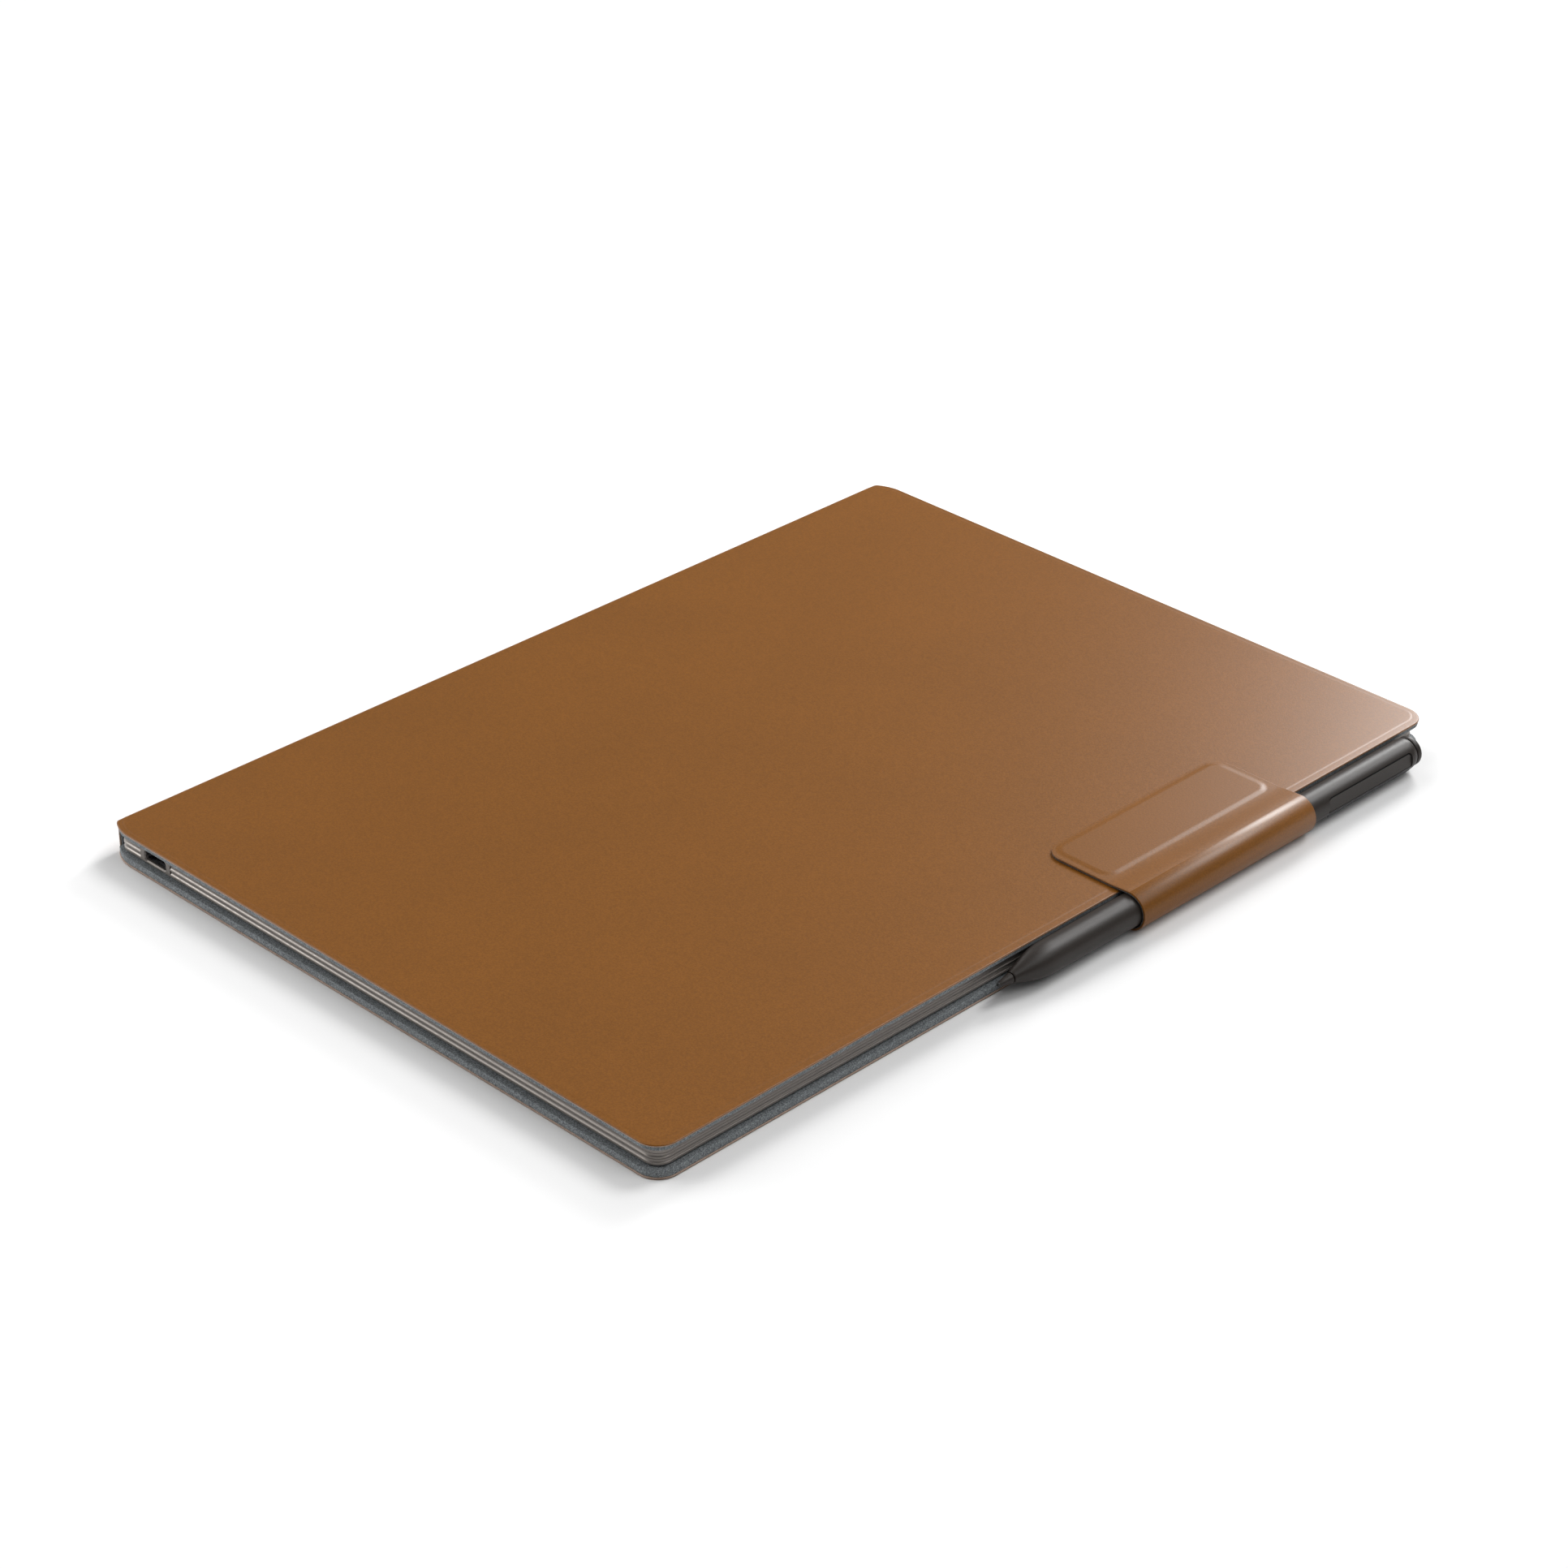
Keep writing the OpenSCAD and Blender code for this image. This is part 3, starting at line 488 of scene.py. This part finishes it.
WRAPS = [("low", -60, "folio_back", "strap_lower", ["strap_lower_leather"], ["strap_lower_lining"]),
         ("mid", 0, "strap_lower", "strap_upper", ["strap_upper_leather"], ["strap_upper_lining"]),
         ("top", 60, "strap_upper", "strap_flap", [], [])]
for tag, ang, b0, b1, hide_l, hide_f in WRAPS:
    # the lowest lining sits a little further out, off the marker
    r_in = R_IN + (0.15 if tag == "low" else 0)
    for part, r0, r1, mat, rnd, hide, slot in (
            ("strap_leather_", R_MID, R_OUT, LEATHER, 0.1, hide_l, "leather"),
            ("strap_lining_", r_in, R_MID, STRAP_LINING, 0.04, hide_f, "lining_fabric")):
        ob = strap_arc(part + tag, ang - 30, ang + 30, r0, r1, mat, rnd)
        if hide:
            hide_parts(*hide)
        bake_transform(ob)


def strap_root():
    """The strap's flat start, from the back cover's edge to under the marker."""
    b = Build()
    y0, y1 = STRAP_Y - STRAP_W / 2, STRAP_Y + STRAP_W / 2
    t, r = STRAP_T, 0.1
    rows = []
    for x in (COVER_W - 0.05, COVER_W + 1, MX):
        rows.append(b.add([(x, y0 + r, 0), (x, y0, r), (x, y0, t - r), (x, y0 + r, t),
                           (x, y1 - r, t), (x, y1, t - r), (x, y1, r), (x, y1 - r, 0)]))
    b.grid(rows, wrap=True)
    b.face(rows[0])
    b.face(rows[-1][::-1])
    return make("strap_root_leather", b.points(), b.f, LEATHER, sharp=40)


ob = strap_root()
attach(ob, "folio_back")
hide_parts("strap_root")


def round_box(x, y, cx, cy, w, h, r):
    """Signed distance to a rounded rectangle, negative inside."""
    qx = np.abs(x - cx) - (w / 2 - r)
    qy = np.abs(y - cy) - (h / 2 - r)
    return np.hypot(np.maximum(qx, 0), np.maximum(qy, 0)) + np.minimum(np.maximum(qx, qy), 0) - r


def flap_base(x):
    """Height of the flap's grain side: flat, then a soft rise to the crest of the wrap."""
    return FLAP_Z + (MZ + R_OUT - FLAP_Z) * smooth(MX - FLAP_RISE, MX, x)


def flap(name, lift, t, material, plate):
    """One layer of the flap; its grain side lies lift below the strap's grain side."""
    edge = np.concatenate([[0, 0.03, 0.08, 0.16, 0.3, 0.6], np.arange(0.9, 7.0, 0.22)])
    fine_x = 192.8                           # the mesh is finer from here up to the crest
    xs = np.concatenate([FLAP_X + edge, np.arange(FLAP_X + 7.4, fine_x, 0.6),
                         np.arange(fine_x, MX, 0.22), [MX]])
    half = STRAP_W / 2
    inner = np.linspace(7.2, 2 * half - 7.2, 40)
    ys = np.concatenate([edge, inner, 2 * half - edge[::-1]]) / half - 1
    hw = np.where(xs < FLAP_X + FLAP_R,
                  half - FLAP_R + np.sqrt(np.maximum(FLAP_R ** 2 - (FLAP_R - (xs - FLAP_X)) ** 2, 0)), half)
    X = np.repeat(xs[:, None], len(ys), axis=1)
    Y = STRAP_Y + hw[:, None] * ys[None, :]
    Z = flap_base(X) - lift
    d = -round_box(X, Y, FLAP_X + 50, STRAP_Y, 100, STRAP_W, FLAP_R)
    d = np.maximum(d, 0)
    rnd = min(0.16, t / 2.2)
    roll = np.where(d < rnd, rnd - np.sqrt(np.maximum(rnd ** 2 - (rnd - d) ** 2, 0)), 0)
    top = Z - roll
    low = Z - t + roll
    if plate:
        top = top + PLATE_H * smooth(*PLATE_EDGE, -round_box(X, Y, *PLATE))
    b = Build()
    A = b.add(np.stack([X, Y, top], -1)).reshape(X.shape)
    B = b.add(np.stack([X, Y, low], -1)).reshape(X.shape)
    b.grid(A)
    b.grid(B, flip=True)
    b.grid([A[0], B[0]], flip=False)
    b.grid([A[-1], B[-1]], flip=True)
    b.grid([A[:, 0], B[:, 0]], flip=True)
    b.grid([A[:, -1], B[:, -1]], flip=False)
    return make(name, b.points(), b.f, material, sharp=60)


ob = flap("flap_leather_sheet", 0.0, R_OUT - R_MID, LEATHER, True)
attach(ob, "strap_flap")
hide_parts("flap_leather", "flap_magnet")
ob = flap("flap_lining_sheet", R_OUT - R_MID + 0.005, R_MID - R_IN - 0.01, STRAP_LINING, False)
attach(ob, "strap_flap")
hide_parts("flap_lining")


# ---------------------------------------------------------------- marker
def flat_distance(y, ang):
    """Distance to the outline of the marker's flat, negative inside; ang is in degrees."""
    return round_box(y, ang * ARC_MM, *FLAT)


def circle(y, r, th):
    """Points at angles th round the marker's axis, y from the nib's point; r is one radius or one each."""
    return np.stack([MX + r * np.cos(th), np.full(len(th), NIB_Y + y), MZ + r * np.sin(th)], -1)


def barrel():
    """The marker's shell: nose, straight run with its flat, and the rim at the eraser."""
    b = Build()
    nose_y = np.array([0.0, 2.0, 4.0, 6.0, 8.0, 9.5, 10.7, 12.0, 13.2])
    nose_r = np.array([1.48, 2.12, 2.76, 3.34, 3.82, 4.08, 4.215, 4.28, BARREL_R])
    nose_l, rim_y = 13.0, 156.0              # the nose's length, and where the rim's rounding starts
    ys = np.concatenate([np.linspace(BARREL_Y0, 19, 72), np.linspace(20, 119, 50),
                         np.linspace(119.5, 123.5, 57), np.linspace(123.7, 151.8, 60),
                         np.linspace(152.0, 155.9, 56), np.linspace(rim_y, BARREL_Y1, 14)])
    ang = np.concatenate([np.linspace(-60, 45, 211), np.linspace(45, 300, 120)[1:-1]])
    th = np.radians(ang)
    # smooth curve through the nose's radii
    scale = 13.5
    coef = np.polyfit(nose_y / scale, nose_r, 5)
    rows = []
    for y in ys:
        r = BARREL_R
        if y < BARREL_Y0 + nose_l:
            r = min(r, float(np.polyval(coef, (y - BARREL_Y0) / scale)))
        if y > rim_y:
            r = BARREL_R - 0.25 * ((y - rim_y) / 1.3) ** 1.3
        if y < 4.98:
            r -= 0.05 * (4.98 - y) / 0.08
        rr = np.full(len(ang), r)
        # flat on the outer side, a groove round it and a strip below it
        d = flat_distance(y, ang)
        flat = FLAT_DIST / np.maximum(np.cos(th - math.radians(FLAT_TILT)), 0.2)
        rr = np.where(d < -GROOVE_W, np.minimum(flat, rr), rr)
        groove = (d > -GROOVE_W) & (d < 0) & (ang > -18)
        rr = np.where(groove, rr - GROOVE_D, rr)
        strip = (d < 0) & (ang < -20)
        rr = np.where(strip, 4.28 + 0.22 * smooth(-20, -44, ang), rr)
        rr = np.where((d < 0) & (np.abs(ang + 19) < 1.1), 3.98, rr)
        rows.append(b.add(circle(y, rr, th)))
    b.grid(rows, flip=True, wrap=True)
    # end rings, closed in to the stems
    hole_r, hole_l = 1.1, 3
    for row, y, s in ((rows[0], BARREL_Y0, 1), (rows[-1], BARREL_Y1, -1)):
        ring, deep = [b.add(circle(yy, hole_r, th)) for yy in (y, y + s * hole_l)]
        b.grid([row, ring, deep], flip=s < 0, wrap=True)
        b.face(deep if s > 0 else deep[::-1])
    return make("marker_barrel_shell", b.points(), b.f, [MARKER, MARKER_PAINTED_SHADE], sharp=32)


ob = barrel()
me = ob.data
# painted shade: the groove round the flat and the strip under it take the near-black material
idx = np.zeros(len(me.polygons), np.int32)
for i, poly in enumerate(me.polygons):
    c = poly.center
    y = c.y / MM - NIB_Y
    a = math.degrees(math.atan2(c.z / MM - MZ, c.x / MM - SX - MX))
    d = flat_distance(y, a)
    if d < -0.01 and (a < -17.5 or d > 0.01 - GROOVE_W):
        idx[i] = 1
me.polygons.foreach_set("material_index", idx)
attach(ob, "marker")
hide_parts("marker_barrel", "marker_rail")


def turned(name, prof, material):
    """A turned piece on the marker's axis from (distance from the nib's point, radius)."""
    b = Build()
    th = np.linspace(0, 2 * math.pi, 96, endpoint=False)
    rows = [b.add(circle(y, r, th)) for y, r in prof]
    b.grid(rows, flip=True, wrap=True)
    b.face(rows[0])
    b.face(rows[-1][::-1])
    return make(name, b.points(), b.f, material, sharp=32)


TIP_R = 0.55
tip = [(TIP_R - TIP_R * math.cos(a), TIP_R * math.sin(a)) for a in np.radians(np.linspace(8, 95, 14))]
ob = turned("nib_tip_bead", tip + [(1.0, 0.5)], BLACK)
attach(ob, "nib")
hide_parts("nib_point")
ob = turned("nib_sleeve", [(0.62, 0.5), (0.66, 0.58), (0.74, 0.62), (2.6, 0.98), (4.1, 1.28), (4.43, 1.35),
                           (4.53, 1.37), (4.57, 1.33), (4.57, 0.7), (6.5, 0.7)], MARKER)
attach(ob, "nib")
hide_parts("nib_cone", "nib_stem")
ob = turned("eraser_disc", [(154.0, 1.2), (157.7, 1.2), (157.7, 3.85), (157.75, 3.98), (157.85, 4.04),
                            (158.9, 4.05), (159.2, 3.98), (159.4, 3.8), (159.5, 3.5), (159.5, 1.0)], MARKER)
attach(ob, "eraser")
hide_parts("eraser_cap", "eraser_stem")

# ---------------------------------------------------------------- shown CAD nodes
PAINT = {
    "mid_frame": METAL, "power_button": METAL, "usb_shell": STEEL, "usb_tongue": BLACK,
    "board_screws": STEEL, "board_shield": STEEL, "marker_holder_magnets": STEEL, "dock_magnets": STEEL,
    "marker_magnets": STEEL, "power_switch": BLACK, "board_chips": BLACK,
    "back_panel": surface("panel_plastic", (78, 78, 80), 0.6, 0.0, 2200, 0.1, 0.2),
    "rubber_feet": surface("foot_rubber", (30, 30, 30), 0.8, 0.0, 1500, 0.2, 0.3),
    "light_guide": surface("light_guide_film", (214, 214, 208), 0.3, 0.0, 800, 0.02, 0.02),
    "light_strip": surface("light_strip_film", (226, 224, 210), 0.4, 0.0, 800, 0.03, 0.05),
    "paper_display": surface("paper_display_film", (206, 204, 197), 0.75, 0.0, 2600, 0.03, 0.08),
    "pen_sensor": surface("pen_sensor_film", (176, 120, 62), 0.4, 0.0, 600, 0.1, 0.05),
}
TAPE = surface("black_tape", (16, 16, 16), 0.7, 0.0, 1500, 0.2, 0.1)
FLEX = surface("flex_film", (186, 124, 48), 0.3, 0.0, 900, 0.1, 0.05)
BOARD = surface("circuit_board", (24, 66, 48), 0.4, 0.0, 700, 0.15, 0.1)
CELL = surface("battery_foil", (56, 58, 62), 0.45, 0.3, 900, 0.1, 0.15)
COIL = surface("copper_winding", (178, 108, 66), 0.35, 0.9, 400, 0.15, 0.3, stretch=(1, 8, 1))
GOLD = surface("gold_contact", (214, 176, 96), 0.3, 1.0, 1200, 0.06, 0.05)
for names, mat in ((("panel_adhesive", "glass_adhesive"), TAPE),
                   (("display_flex", "battery_flex", "radio_antenna"), FLEX),
                   (("main_board", "battery_board", "marker_board"), BOARD),
                   (("battery_cells", "marker_cell"), CELL),
                   (("charge_coil", "marker_antenna", "marker_charge_coil"), COIL),
                   (("accessory_contacts",), GOLD)):
    for n in names:
        PAINT[n] = mat


def glass():
    """Etched glass, clear over the display and printed from behind round it."""
    m, nt, p, co = tree("front_glass")
    sep = nt.nodes.new("ShaderNodeSeparateXYZ")
    nt.links.new(co, sep.inputs[0])
    inside = []
    for i, half in ((0, WINDOW_X), (1, WINDOW_Y)):
        middle = (TAB_LO[i] + TAB_HI[i]) / 2 * MM
        off = math_node(nt, "ABSOLUTE", math_node(nt, "SUBTRACT", sep.outputs[i], middle))
        inside.append(math_node(nt, "LESS_THAN", off, half * MM))
    clear = math_node(nt, "MULTIPLY", *inside)
    f = noise(nt, co, 2600, 3, 0.6)
    col = ramp(nt, f, [(0.3, lin((150, 148, 143))), (0.7, lin((160, 158, 153)))])
    nt.links.new(col, p.inputs["Base Color"])
    p.inputs["Roughness"].default_value = 0.34
    bump(nt, p, f, 0.06, 0.0001)
    tr = nt.nodes.new("ShaderNodeBsdfTransparent")
    gl = nt.nodes.new("ShaderNodeBsdfGlossy")
    gl.inputs["Roughness"].default_value = 0.32
    fres = nt.nodes.new("ShaderNodeFresnel")
    fres.inputs["IOR"].default_value = 1.45
    m1 = nt.nodes.new("ShaderNodeMixShader")
    nt.links.new(fres.outputs[0], m1.inputs[0])
    nt.links.new(tr.outputs[0], m1.inputs[1])
    nt.links.new(gl.outputs[0], m1.inputs[2])
    m2 = nt.nodes.new("ShaderNodeMixShader")
    nt.links.new(clear, m2.inputs[0])
    nt.links.new(p.outputs[0], m2.inputs[1])
    nt.links.new(m1.outputs[0], m2.inputs[2])
    out = next(n for n in nt.nodes if n.type == "OUTPUT_MATERIAL")
    nt.links.new(m2.outputs[0], out.inputs[0])
    return m


PAINT["cover_glass"] = glass()
for n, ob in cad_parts.items():
    if not ob.hide_render:
        ob.data.materials.clear()
        ob.data.materials.append(PAINT[n])

# ---------------------------------------------------------------- floor, light, camera
bpy.ops.mesh.primitive_plane_add(size=40, location=(0, 0, -0.00002))
floor = bpy.context.object
floor.name = "floor"
m, nt, p, co = tree("pale_floor")
col = ramp(nt, noise(nt, co, 3, 2), [(0.3, (0.78, 0.78, 0.78)), (0.7, (0.79, 0.79, 0.79))])
nt.links.new(col, p.inputs["Base Color"])
p.inputs["Roughness"].default_value = 0.9
p.inputs["Specular IOR Level"].default_value = 0.1
floor.data.materials.append(m)

world = bpy.data.worlds.new("studio")
bpy.context.scene.world = world
world.use_nodes = True
world.node_tree.nodes["Background"].inputs[0].default_value = (1, 1, 1, 1)
world.node_tree.nodes["Background"].inputs[1].default_value = 0.2
bpy.context.scene.view_settings.view_transform = "Standard"


def lamp(name, kind, loc, target, power, **kw):
    """A lamp at loc that points to target; kw are further settings of its data."""
    data = bpy.data.lights.new(name, kind)
    data.energy = power
    for k, v in kw.items():
        setattr(data, k, v)
    o = bpy.data.objects.new(name, data)
    bpy.context.scene.collection.objects.link(o)
    o.location = loc
    o.rotation_euler = (Vector(target) - Vector(loc)).to_track_quat("-Z", "Y").to_euler()
    return o


lamp("key_light", "SUN", (0.13, 0.66, 0.74), (0, 0, 0), 1.6, angle=math.radians(24))
lamp("right_light", "SUN", (0.55, 0.25, 0.78), (0, 0, 0), 0.75, angle=math.radians(35))
lamp("left_light", "SUN", (-0.74, -0.24, 0.40), (0, 0, 0), 2.4, angle=math.radians(70))
lamp("low_back_light", "SUN", (-0.24, 0.85, 0.47), (0, 0, 0), 0.45, angle=math.radians(30))
lamp("back_softbox", "AREA", (-0.145, 0.670, 0.370), (0.17, 0.12, 0), 3.2, size=0.2)
lamp("left_softbox", "AREA", (-0.42, -0.48, 0.08), (-0.1, -0.14, 0), 0.7, size=0.12)

cam_data = bpy.data.cameras.new("camera")
cam = bpy.data.objects.new("camera", cam_data)
bpy.context.scene.collection.objects.link(cam)
cam_data.sensor_width = 36
cam_data.lens = 91.24
cam_data.shift_x = -0.02588
CAM_AT = (0.62005, -0.62317, 0.51543)
AZIMUTH, ELEVATION, ROLL = 44.374, 30.067, 0.3527
az, el, roll = math.radians(AZIMUTH), math.radians(ELEVATION), math.radians(ROLL)
right = Vector((math.cos(az), math.sin(az), 0))
back = Vector((math.sin(az) * math.cos(el), -math.cos(az) * math.cos(el), math.sin(el)))
up = back.cross(right)
r2 = right * math.cos(roll) + up * math.sin(roll)
u2 = up * math.cos(roll) - right * math.sin(roll)
rot = Matrix((r2, u2, back)).transposed().to_4x4()
cam.matrix_world = Matrix.Translation(CAM_AT) @ rot
cam_data.clip_start, cam_data.clip_end = 0.05, 20
bpy.context.scene.camera = cam
